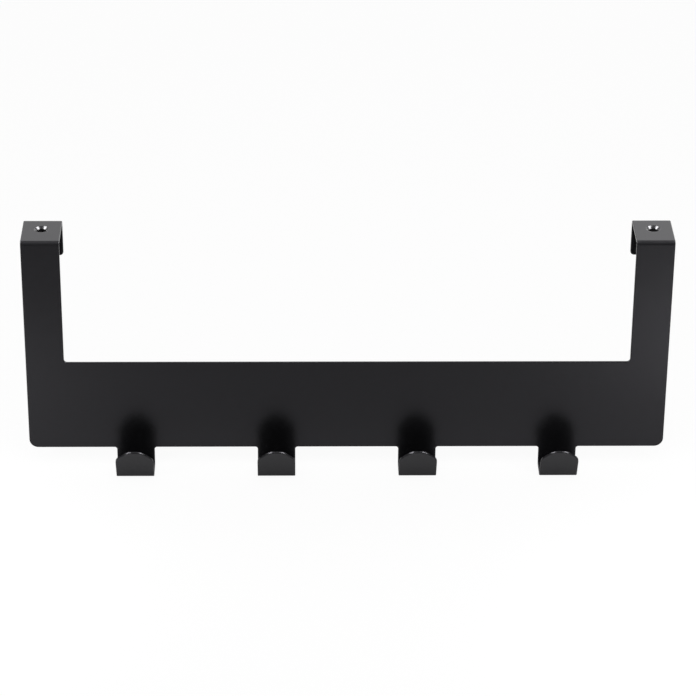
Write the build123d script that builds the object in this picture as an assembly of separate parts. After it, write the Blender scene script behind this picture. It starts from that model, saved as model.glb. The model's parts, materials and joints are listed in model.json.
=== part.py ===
from build123d import *
from math import cos, radians, sin
import os

# Over door hook rack: one steel sheet, cut to a U with straps along its lower edge, and then folded.
# Each upright folds back over the top of the door and down behind it. Each strap folds forward and up
# into a hook. Sizes are in millimetres and degrees. X runs along the bar, Y from the room to the back
# of the door, and Z up. The origin is on the door's front top edge: the back of the plate lies at Y 0
# and the underside of the tabs at Z 0.

# Sheet
sheet = 2.0
inner_bend = 1.0
edge_break = 0.4

# Plate, seen from the front
overall_width = 500.0
overall_height = 180.5
bar_height = 76.0
upright_width = 29.7
bar_corner_radius = 7.0
window_corner_radius = 2.5

# Tab over the door, and the leg behind it
door_gap = 35.5
leg_length = 30.0
leg_corner_radius = 3.0
screw_setback = 21.0
screw_hole_diameter = 7.4
countersink_diameter = 11.0
countersink_angle = 90.0

# Hooks
hook_count = 4
hook_end_margin = 83.6
hook_width = 29.6
hook_drop = 17.0
hook_reach = 17.0
lip_length = 33.0
lip_lean = 26.0
tip_width = 10.7
tip_radius = 10.0
strap_fillet = 2.0

# How closely an edge has to match a place, and how far two faces turn where their edge is sharp
place_slack = 0.001
sharp_turn = 1.0

# Levels and places that follow from the sizes
outer_bend = inner_bend + sheet
rim_break = min(edge_break, sheet / 3)
plate_front = -sheet
tab_top = sheet
leg_back = door_gap + sheet
bar_bottom = tab_top - overall_height
bar_top = bar_bottom + bar_height
leg_bottom = tab_top - leg_length
hook_bottom = bar_bottom - hook_drop
bar_end = overall_width / 2
window_side = bar_end - upright_width
upright_center = bar_end - upright_width / 2
hook_pitch = (overall_width - 2 * hook_end_margin) / (hook_count - 1)
hook_centers = [index * hook_pitch - bar_end + hook_end_margin for index in range(hook_count)]
strap_sides = [center + side * hook_width / 2 for center in hook_centers for side in (-1, 1)]


def folded_strip(corners, width):
    """A strip of the sheet, folded at the corners of its outer skin, which are (Y, Z) points."""
    skin = FilletPolyline(*corners, radius=outer_bend)
    section = make_face(skin.offset_2d(sheet, side=Side.RIGHT))
    return extrude(Plane.YZ * section, amount=width / 2, both=True)


def saddle_strip():
    """An upright with its tab over the door and its leg behind the door."""
    corners = [
        (plate_front, bar_bottom),
        (plate_front, tab_top),
        (leg_back, tab_top),
        (leg_back, leg_bottom),
    ]
    return folded_strip(corners, upright_width)


def hook_strip():
    """A strap with its hook floor and its lip, which leans out and narrows at 45 degrees to a round tip."""
    lean = radians(lip_lean)
    lip_foot = plate_front - hook_reach
    lip_end = (lip_foot - lip_length * sin(lean), hook_bottom + lip_length * cos(lean))
    corners = [(0, bar_top), (0, hook_bottom), (lip_foot, hook_bottom), lip_end]
    strip = folded_strip(corners, hook_width)
    through_lip = Axis((0, 0, 0), (0, cos(lean), sin(lean)))
    strip = chamfer(strip.edges().filter_by(through_lip), (hook_width - tip_width) / 2)
    return fillet(strip.edges().filter_by(through_lip), tip_radius)


def folded_blank():
    """The whole sheet after folding, with the corners of its plate and its legs still square."""
    bar_middle = Pos(0, plate_front / 2, (bar_bottom + bar_top) / 2)
    blank = bar_middle * Box(overall_width, sheet, bar_height)
    saddle = saddle_strip()
    for center in (-upright_center, upright_center):
        blank += Pos(center, 0, 0) * saddle
    hook = hook_strip()
    for center in hook_centers:
        blank += Pos(center, 0, 0) * hook
    return blank


def corner_edges(part, level, places):
    """Edges straight through the sheet at one height and at the given X places."""
    through = part.edges().filter_by(Axis.Y)
    here = through.filter_by_position(Axis.Z, level - place_slack, level + place_slack)
    return [edge for edge in here if any(abs(edge.center().X - x) < place_slack for x in places)]


def round_corners(part):
    """Round the corners of the cut outline: the bar, the window, the legs and the strap roots."""
    corner_rounds = [
        (bar_bottom, (-bar_end, bar_end), bar_corner_radius),
        (bar_bottom, strap_sides, strap_fillet),
        (bar_top, (-window_side, window_side), window_corner_radius),
        (leg_bottom, (-bar_end, -window_side, window_side, bar_end), leg_corner_radius),
    ]
    for level, places, radius in corner_rounds:
        part = fillet(corner_edges(part, level, places), radius)
    return part


def rim_edges(part):
    """Edges where a skin of the sheet meets its cut rim: the only ones where faces are not tangent."""
    faces_at = {}
    for face in part.faces():
        for edge in face.edges():
            faces_at.setdefault(edge, []).append(face)
    rim = []
    for edge, (first, second) in faces_at.items():
        middle = edge.position_at(0.5)
        if first.normal_at(middle).get_angle(second.normal_at(middle)) > sharp_turn:
            rim.append(edge)
    return rim


def drill_screw_holes(part):
    """One countersunk hole through each tab."""
    hole = CounterSinkHole(
        radius=screw_hole_diameter / 2,
        counter_sink_radius=countersink_diameter / 2,
        depth=2 * sheet,
        counter_sink_angle=countersink_angle,
    )
    for center in (-upright_center, upright_center):
        part -= Pos(center, screw_setback, tab_top) * hole
    return part


rack = round_corners(folded_blank())
rack = chamfer(rim_edges(rack), rim_break)
rack = drill_screw_holes(rack)

os.makedirs("parts", exist_ok=True)
export_step(rack, "parts/hook_rack.step")
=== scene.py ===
# %% [markdown]
# # A hook rack that hangs over a door
#
# The real object is one sheet of steel. It is cut to a wide U with straps along its lower edge, folded,
# and coated in satin black powder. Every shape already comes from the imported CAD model, so this lesson
# is about the other half of the work: where the camera stands, what the coat is made of, and what there
# is around a black object for it to reflect.

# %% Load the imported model
import json
from math import radians

import bpy
from mathutils import Matrix, Vector


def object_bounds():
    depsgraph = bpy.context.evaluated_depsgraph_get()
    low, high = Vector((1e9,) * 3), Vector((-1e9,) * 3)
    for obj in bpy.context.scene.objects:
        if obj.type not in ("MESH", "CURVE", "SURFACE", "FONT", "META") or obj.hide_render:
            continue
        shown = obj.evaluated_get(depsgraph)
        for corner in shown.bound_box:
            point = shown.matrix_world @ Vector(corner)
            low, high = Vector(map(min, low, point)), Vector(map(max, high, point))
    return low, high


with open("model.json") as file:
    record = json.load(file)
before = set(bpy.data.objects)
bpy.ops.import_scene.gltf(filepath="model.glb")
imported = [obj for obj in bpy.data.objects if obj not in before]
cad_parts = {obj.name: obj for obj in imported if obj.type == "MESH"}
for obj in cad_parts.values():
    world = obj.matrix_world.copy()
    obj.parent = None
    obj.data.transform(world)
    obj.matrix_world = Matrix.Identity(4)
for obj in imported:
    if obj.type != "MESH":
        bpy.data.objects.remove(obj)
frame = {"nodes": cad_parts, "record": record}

cad_low, cad_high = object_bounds()
rack = frame["nodes"]["hook_rack"]
print("Loaded", rack.name, "of size", [round(side, 4) for side in cad_high - cad_low])

# %% [markdown]
# ## The camera
#
# A long lens far away keeps the uprights almost parallel, as in the photograph. The aim is the point of
# the plate that the middle of the picture shows, and the camera is swung round it: first to its height,
# then a little to the left, and then tipped by about half a degree. Swinging it round a point keeps each
# of these numbers readable, where a bare position and three angles would not be.

# %% Place the camera
aim = Vector((0.00034, -0.002, -0.08975))
aim_distance = 2.3786
looking_down = radians(28.53)
standing_left = radians(1.149)
tipped = radians(0.464)
level_look = radians(90)
sensor_width = 36.0
lens_length = 158.51

camera_data = bpy.data.cameras.new("camera")
camera_data.sensor_width = sensor_width
camera_data.lens = lens_length
camera = bpy.data.objects.new("camera", camera_data)
bpy.context.scene.collection.objects.link(camera)
turn = (
    Matrix.Rotation(-standing_left, 4, "Z")
    @ Matrix.Rotation(level_look - looking_down, 4, "X")
    @ Matrix.Rotation(tipped, 4, "Z")
)
camera.matrix_world = Matrix.Translation(aim) @ turn @ Matrix.Translation((0, 0, aim_distance))
bpy.context.scene.camera = camera
print("Camera at", [round(c, 4) for c in camera.matrix_world.translation])

# %% [markdown]
# ## Sums in a shader
#
# A material is a tree of nodes, and a sum of three numbers takes two Math nodes and four links. The
# class below wraps a socket, so that `1 - mask * 0.5` is written as it is thought and adds those nodes
# by itself. Its one method `node` adds any other kind of node: its settings first, then what goes into
# its sockets, by name, or by number where a node has two sockets of one name. The method `ramp` is a
# short way to a Map Range node, which turns a place or a direction into a level of light or gloss.

# %% Wrap a socket


class Wire:
    """A socket of a node tree. Sums on it add Math nodes."""

    def __init__(self, tree, socket=None):
        self.tree = tree
        self.socket = socket

    def node(self, kind, settings=None, inputs=None, output=0):
        """Add a node and return a wire from one of its outputs."""
        made = self.tree.nodes.new(kind)
        for name, value in (settings or {}).items():
            setattr(made, name, value)
        for name, value in (inputs or {}).items():
            if isinstance(value, Wire):
                self.tree.links.new(value.socket, made.inputs[name])
            else:
                made.inputs[name].default_value = value
        return Wire(self.tree, made.outputs[output] if made.outputs else None)

    def ramp(self, start, end, low=0.0, high=1.0, curve="LINEAR"):
        """A level that goes from low to high as this wire goes from start to end."""
        return self.node(
            "ShaderNodeMapRange",
            {"interpolation_type": curve},
            {"Value": self, "From Min": start, "From Max": end, "To Min": low, "To Max": high},
        )

    def sum(self, operation, first, second):
        """Join two numbers in a Math node."""
        return self.node("ShaderNodeMath", {"operation": operation}, {0: first, 1: second})

    def __add__(self, other):
        return self.sum("ADD", self, other)

    def __sub__(self, other):
        return self.sum("SUBTRACT", self, other)

    def __rsub__(self, other):
        return self.sum("SUBTRACT", other, self)

    def __mul__(self, other):
        return self.sum("MULTIPLY", self, other)

    __radd__ = __add__
    __rmul__ = __mul__


def empty_tree(owner):
    """Switch a material or the world to nodes, and clear away the ones it starts with."""
    owner.use_nodes = True
    owner.node_tree.nodes.clear()
    return Wire(owner.node_tree)


print("Sums are written as Python now")

# %% [markdown]
# ## The powder coat
#
# Powder is sprayed on dry and melted in an oven. It flows out into a skin that is smooth to the hand but
# not flat: there is a gentle orange peel a couple of millimetres across, and a fine grain in it. Over
# the length of a hand the coat also comes out a little thicker or thinner, in broad patches. A painted
# picture could hold all this, but it would need an unwrapped mesh and would blur up close. Three noise
# textures stand for the three scales instead, and they have no seams. Object coordinates are metres
# here, so one over a lump's size is the scale of its noise.

# %% Peel, grain and patches
peel_size = 0.0022
grain_size = 0.0005
patch_size = 0.035

coat = bpy.data.materials.new("black_powder_coat")
wire = empty_tree(coat)
place = wire.node("ShaderNodeTexCoord", output="Object")


def noise(size, detail):
    """Soft noise between about 0.2 and 0.8, with lumps of the given size in metres."""
    return wire.node("ShaderNodeTexNoise", None, {"Vector": place, "Scale": 1 / size, "Detail": detail})


peel = noise(peel_size, detail=1.0)
grain = noise(grain_size, detail=2.0)
patch = noise(patch_size, detail=3.0)
print("Peel lumps of", peel_size * 1000, "mm and grain of", grain_size * 1000, "mm")

# %% [markdown]
# ## The rim
#
# Surface tension pulls the melt back from a cut edge, which rounds the edge and leaves it a little
# glossier than the flat. The model has the broken edge of the sheet as a small chamfer. A finer mesh
# could round it, but a Bevel node does it for the light alone, without a change of shape. Where the
# rounded normal turns away from the true one there is a rim, so the two of them also make the mask for
# the extra gloss.

# %% Round the rim
rim_radius = 0.0009
rim_samples = 6
rim_starts = 0.98
rim_is_full = 0.85

rounded = wire.node("ShaderNodeBevel", {"samples": rim_samples}, {"Radius": rim_radius})
flat = wire.node("ShaderNodeNewGeometry", output="Normal")
agreement = wire.node("ShaderNodeVectorMath", {"operation": "DOT_PRODUCT"}, {0: rounded, 1: flat}, "Value")
rim = agreement.ramp(rim_starts, rim_is_full)
print("Rims are rounded over", rim_radius * 1000, "mm")

# %% [markdown]
# ## The countersinks
#
# Melted powder gathers in a countersink and sets there as a thicker skin, glassier than the rest. A
# second material on the faces of the cone would show that too, but the model keeps its one material, so
# a mask does it: the distance from the axis of a hole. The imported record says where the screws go. The
# two holes mirror each other, so with the sign of x dropped one distance serves both.

# %% Find the countersinks
mouth_radius = 0.0055
mouth_edge = 0.0002
mm = 0.001

mounts = {mount["name"]: mount for mount in frame["record"]["mounts"]}
screw_holes = mounts["screw_holes"]
hole_axis = (screw_holes["dims"]["spacing_x_mm"] * mm / 2, screw_holes["pos_m"][1], 0)

across = wire.node("ShaderNodeSeparateXYZ", None, {"Vector": place}, "X")
depth = wire.node("ShaderNodeSeparateXYZ", None, {"Vector": place}, "Y")
unsigned = wire.node("ShaderNodeMath", {"operation": "ABSOLUTE"}, {0: across})
on_one_side = wire.node("ShaderNodeCombineXYZ", None, {"X": unsigned, "Y": depth})
from_axis = wire.node(
    "ShaderNodeVectorMath",
    {"operation": "DISTANCE"},
    {0: on_one_side, 1: hole_axis},
    output="Value",
)
countersink = from_axis.ramp(mouth_radius + mouth_edge, mouth_radius)
print("Countersinks round", [round(c, 5) for c in hole_axis], "to a radius of", mouth_radius)

# %% [markdown]
# ## From pattern to finish
#
# Nearly all that the eye gets from a black coat is reflection, so the base colour stays close to black
# and changes only a little from patch to patch. The roughness does the work. At about 0.3 the coat shows
# a soft image of what stands close to it, such as the dark hook in front of the bar, and only a glow of
# what is far away. The relief of the peel is less than a hundredth of a millimetre, which is enough to
# break the line of a highlight. The reflection itself is tinted very slightly towards blue. The Coat
# inputs of the shader add the glassy skin of the countersinks, and only there.

# %% Mix the coat
satin = 0.29
patch_sway = 0.05
grain_sway = 0.04
rim_gloss = 0.08
noise_middle = 0.5
thin_black = (0.0013, 0.0013, 0.0015, 1)
thick_black = (0.0021, 0.0021, 0.0024, 1)
cool_white = (0.94, 0.92, 1.0, 1)
relief = 0.000012
peel_share = 0.7
grain_share = 0.3
resin_index = 1.5
glassy = 0.15

patch_change = (patch - noise_middle) * patch_sway
grain_change = (grain - noise_middle) * grain_sway
coat_roughness = satin + patch_change + grain_change - rim * rim_gloss
coat_colour = wire.node(
    "ShaderNodeMix",
    {"data_type": "RGBA"},
    {"Factor": patch, 6: thin_black, 7: thick_black},
    output=2,
)
coat_height = peel * peel_share + grain * grain_share
coat_normal = wire.node(
    "ShaderNodeBump",
    None,
    {"Strength": 1.0, "Distance": relief, "Height": coat_height, "Normal": rounded},
)
coat_shader = wire.node(
    "ShaderNodeBsdfPrincipled",
    None,
    {
        "Base Color": coat_colour,
        "Roughness": coat_roughness,
        "Normal": coat_normal,
        "IOR": resin_index,
        "Specular Tint": cool_white,
        "Coat Weight": countersink,
        "Coat Roughness": glassy,
    },
)
wire.node("ShaderNodeOutputMaterial", None, {"Surface": coat_shader})
rack.material_slots[0].material = coat
print("The coat has", len(coat.node_tree.nodes), "nodes")

# %% [markdown]
# ## The floor
#
# The rack stands on its hooks on a large pale floor. A curved backdrop could hide the line where a floor
# meets a wall, but the world behind this one is white too, so a single wide plane is enough. The floor
# doesn't belong to the object.

# %% Lay the floor
floor_side = 12.0

bpy.ops.object.select_all(action="DESELECT")
bpy.ops.mesh.primitive_plane_add(size=floor_side, location=(0, 0, cad_low.z))
floor = bpy.context.active_object
floor.name = "floor"
print("Floor at height", round(cad_low.z, 4))

# %% [markdown]
# ## The white of the floor
#
# A catalogue picture has a clean white ground. More lamps would whiten the floor, but they would flood
# the object too. So the floor glows almost white to the camera, and a small share of real shading is
# kept for the soft shadow of the rack. The coat mirrors the floor too, and in those reflections the floor
# shows painted light, a level set by place and not by the lamps. The upright plate and the lips show the
# strip of floor in front of them. There the painted light is brightest just before the lips and fades
# towards the camera, and painted shade darkens the floor under the hooks. The rims and the back of the
# plate show a bright painted glow on the floor behind. Light Path tells the two kinds of ray apart, so
# each gets its own level of white.

# %% Make the floor pale
pale_grey = (0.86, 0.86, 0.86, 1)
white_in_view = 0.92
# The share of the painted glow in what the coat mirrors of the floor; the rest is real shading.
painted_glow_share = 0.6
lip_line = -0.04

paper = bpy.data.materials.new("pale_floor")
wire = empty_tree(paper)
camera_ray = wire.node("ShaderNodeLightPath", output="Is Camera Ray")
glossy_ray = wire.node("ShaderNodeLightPath", output="Is Glossy Ray")
glass_ray = wire.node("ShaderNodeLightPath", output="Is Transmission Ray")
floor_place = wire.node("ShaderNodeTexCoord", output="Object")
floor_depth = wire.node("ShaderNodeSeparateXYZ", None, {"Vector": floor_place}, "Y")
# Painted light and shade on the floor, seen only in reflections: a fade towards the camera, a bright band
# before the lips, painted shade under the hooks and a painted glow behind.
painted_front_fade = floor_depth.ramp(start=-0.35, end=lip_line, high=0.35)
painted_lip_band = floor_depth.ramp(start=-0.07, end=lip_line, high=0.15)
painted_shade_under_hooks = floor_depth.ramp(start=lip_line, end=-0.01, high=0.40)
painted_back_glow = floor_depth.ramp(start=0.0, end=0.12, high=1.5)
# The painted level of the floor as the coat mirrors it.
painted_level_in_coat = painted_front_fade + painted_lip_band - painted_shade_under_hooks + painted_back_glow
white_level = camera_ray + glass_ray + glossy_ray * painted_level_in_coat
white_share = (camera_ray + glass_ray) * white_in_view + glossy_ray * painted_glow_share
matt = wire.node("ShaderNodeBsdfDiffuse", None, {"Color": pale_grey})
white = wire.node("ShaderNodeEmission", None, {"Color": white_level})
floor_shader = wire.node("ShaderNodeMixShader", None, {0: white_share, 1: matt, 2: white})
wire.node("ShaderNodeOutputMaterial", None, {"Surface": floor_shader})
floor.data.materials.append(paper)
print("The floor has", len(paper.node_tree.nodes), "nodes")

# %% [markdown]
# ## The room
#
# A black object shows the room. Behind the rack the room is a white wall, a little brighter on the
# right, and the tabs mirror it at a low angle, which makes them much lighter than the plate. The side
# where the camera stands is a dim tent that gets lighter towards its roof. Walls of card could be built
# for this, but the world paints both by direction, without a mesh, and is plain white to the camera.

# %% Build the room
right_lead = 0.8

world = bpy.data.worlds.new("studio")
bpy.context.scene.world = world
wire = empty_tree(world)
direction = wire.node("ShaderNodeTexCoord", output="Generated")
to_right = wire.node("ShaderNodeSeparateXYZ", None, {"Vector": direction}, "X")
to_back = wire.node("ShaderNodeSeparateXYZ", None, {"Vector": direction}, "Y")
to_top = wire.node("ShaderNodeSeparateXYZ", None, {"Vector": direction}, "Z")
tent = to_top.ramp(start=-0.1, end=0.5, low=0.15, high=0.45)
back_wall = to_back.ramp(start=0.5, end=0.9, curve="SMOOTHSTEP") * (1 + to_right * right_lead)
camera_ray = wire.node("ShaderNodeLightPath", output="Is Camera Ray")
room_level = camera_ray + (1 - camera_ray) * (tent + back_wall)
room = wire.node("ShaderNodeBackground", None, {"Color": room_level})
wire.node("ShaderNodeOutputWorld", None, {"Surface": room})
print("The room has", len(world.node_tree.nodes), "nodes")

# %% [markdown]
# ## The softboxes
#
# The two white spots in each countersunk hole, and the thin bright lines on the round tips of the hooks,
# tell where the lamps hung: a softbox high on the right and another on the left. Area lamps can be set
# to show in reflections only, and these two are, because bright as they have to be for those spots, they
# would wash out everything matt.

# %% Hang the softboxes
rack_middle = (cad_low + cad_high) / 2


def hang_lamp(name, lamp_place, target, size, power, mirrored=True, lighting=True):
    """A flat lamp of a width and a height, turned to its target."""
    lamp_data = bpy.data.lights.new(name, "AREA")
    lamp_data.shape = "RECTANGLE"
    lamp_data.size, lamp_data.size_y = size
    lamp_data.energy = power
    lamp = bpy.data.objects.new(name, lamp_data)
    bpy.context.scene.collection.objects.link(lamp)
    lamp.location = lamp_place
    lamp.rotation_mode = "QUATERNION"
    lamp.rotation_quaternion = (lamp_place - target).to_track_quat("Z", "Y")
    lamp.visible_camera = False
    lamp.visible_glossy = mirrored
    lamp.visible_diffuse = lighting
    print(name, "at", [round(c, 2) for c in lamp_place])


softbox_distance = 2.5
softbox_direction = Vector((0.64, 0.0, 0.77)).normalized()
softbox_size = (1.3, 1.4)
softbox_power = 82.0
for side, mirror in (("right", 1), ("left", -1)):
    softbox_place = rack_middle + Vector((mirror, 1, 1)) * softbox_direction * softbox_distance
    hang_lamp(side + "_softbox", softbox_place, rack_middle, softbox_size, softbox_power, lighting=False)

# %% [markdown]
# ## The fill
#
# The plain light on the object comes from one large soft fill in front and above. It is set the other
# way round, to give light and not to show in the coat. Its power is such that a mid grey card in the
# rack's place comes out mid grey, both lying flat and standing up.

# %% Set the fill
fill_offset = Vector((0, -1.8, 2.4))
fill_size = (3.0, 3.0)
fill_power = 66.0
hang_lamp("front_fill", rack_middle + fill_offset, rack_middle, fill_size, fill_power, mirrored=False)

# %% [markdown]
# ## Two low lamps
#
# The right end of the plate is lighter than its middle, and so is the left end, by less. A flat black
# plate can only get that from the floor in front of it. Two small lamps close above the floor each leave
# a pool of light there, out of the camera's view, and the plate mirrors the pools.

# %% Light two pools
low_lamp_size = (0.06, 0.06)
low_lamps = {
    "right_low_lamp": {"pool": (0.35, -0.235), "height": 0.13, "power": 0.8},
    "left_low_lamp": {"pool": (-0.34, -0.16), "height": 0.14, "power": 0.35},
}
for name, lamp in low_lamps.items():
    pool = Vector((*lamp["pool"], cad_low.z))
    low_lamp_place = pool + Vector((0, 0, lamp["height"]))
    hang_lamp(name, low_lamp_place, pool, low_lamp_size, lamp["power"])

# %% [markdown]
# ## Finish
#
# The Standard view shows colours as they are written. The coat adds no shape.

# %% Set the view
bpy.context.scene.view_settings.view_transform = "Standard"
